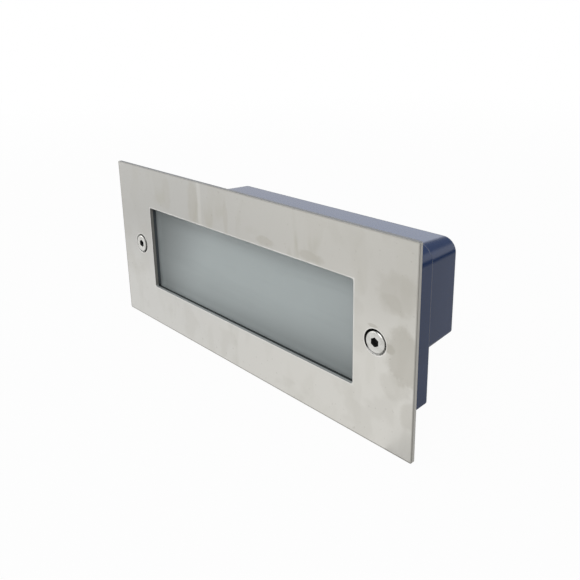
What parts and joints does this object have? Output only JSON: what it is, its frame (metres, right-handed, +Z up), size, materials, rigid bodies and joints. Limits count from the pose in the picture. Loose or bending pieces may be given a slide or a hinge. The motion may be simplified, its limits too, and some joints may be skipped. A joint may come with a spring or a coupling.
{
  "type": "recessed step light",
  "caption": "Recessed step light with a stainless faceplate, a frosted window, a lamp tray and driver behind it, and the stepped wall box.",
  "frame": {"origin": "middle of the faceplate in the plane of the wall's face, where the faceplate's back lies", "axes": "+X along the faceplate, to the right seen from the front; +Y into the wall; +Z up"},
  "size_m": [0.23, 0.0759, 0.1],
  "materials": {
    "plate_steel": "satin, rolled stainless sheet",
    "zinc_steel": "bright zinc",
    "polished_steel": "polished stainless",
    "spring_steel": "dark spring steel",
    "foam": "matt closed-cell foam",
    "black_rubber": "matt",
    "white_silicone": "matt",
    "frosted_glass": "frosted on its face",
    "white_paint": "satin powder coat",
    "board_white": "satin solder mask",
    "chip_yellow": "satin",
    "driver_black": "satin moulded",
    "lid_aluminium": "satin",
    "lead_red": "satin",
    "lead_black": "satin",
    "lead_brown": "satin",
    "lead_blue": "satin",
    "lead_green": "satin, with a yellow stripe",
    "brass": "plain",
    "box_blue": "glossy moulded",
    "terminal_white": "satin",
    "gland_grey": "satin moulded"
  },
  "bodies": {
    "box": {"wall_box": "box_blue", "threaded_inserts": "brass", "terminal_block": "terminal_white", "block_screws": "zinc_steel", "gland_washer": "black_rubber", "gland_body": "gland_grey", "gland_locknut": "gland_grey", "gland_seal": "black_rubber", "gland_cap": "gland_grey"},
    "front": {"faceplate": "plate_steel", "plate_studs": "zinc_steel", "rim_gasket": "foam", "window_gasket": "black_rubber", "window_glass": "frosted_glass", "tray_seal": "white_silicone", "lamp_tray": "white_paint", "tray_washers": "zinc_steel", "tray_nuts": "zinc_steel", "led_board": "board_white", "led_chips": "chip_yellow", "board_screws": "zinc_steel", "driver_case": "driver_black", "driver_lid": "lid_aluminium", "driver_screws": "zinc_steel", "tray_grommet": "black_rubber", "lead_red": "lead_red", "lead_black": "lead_black", "lead_live": "lead_brown", "lead_neutral": "lead_blue", "lead_earth": "lead_green", "earth_tag": "brass", "screw_seals": "black_rubber"},
    "screw_left": {"screw_left": "polished_steel", "clip_left": "spring_steel"},
    "screw_right": {"screw_right": "polished_steel", "clip_right": "spring_steel"}
  },
  "joints": [
    {"name": "front_slide", "type": "slide", "parent": "box", "child": "front", "axis": [0, -1, 0], "range_m": [0, 0.08]},
    {"name": "screw_left_turn", "type": "hinge", "parent": "front", "child": "screw_left", "pos_m": [-0.094, 0, 0], "axis": [0, 1, 0], "continuous": true},
    {"name": "screw_right_turn", "type": "hinge", "parent": "front", "child": "screw_right", "pos_m": [0.094, 0, 0], "axis": [0, 1, 0], "continuous": true}
  ]
}
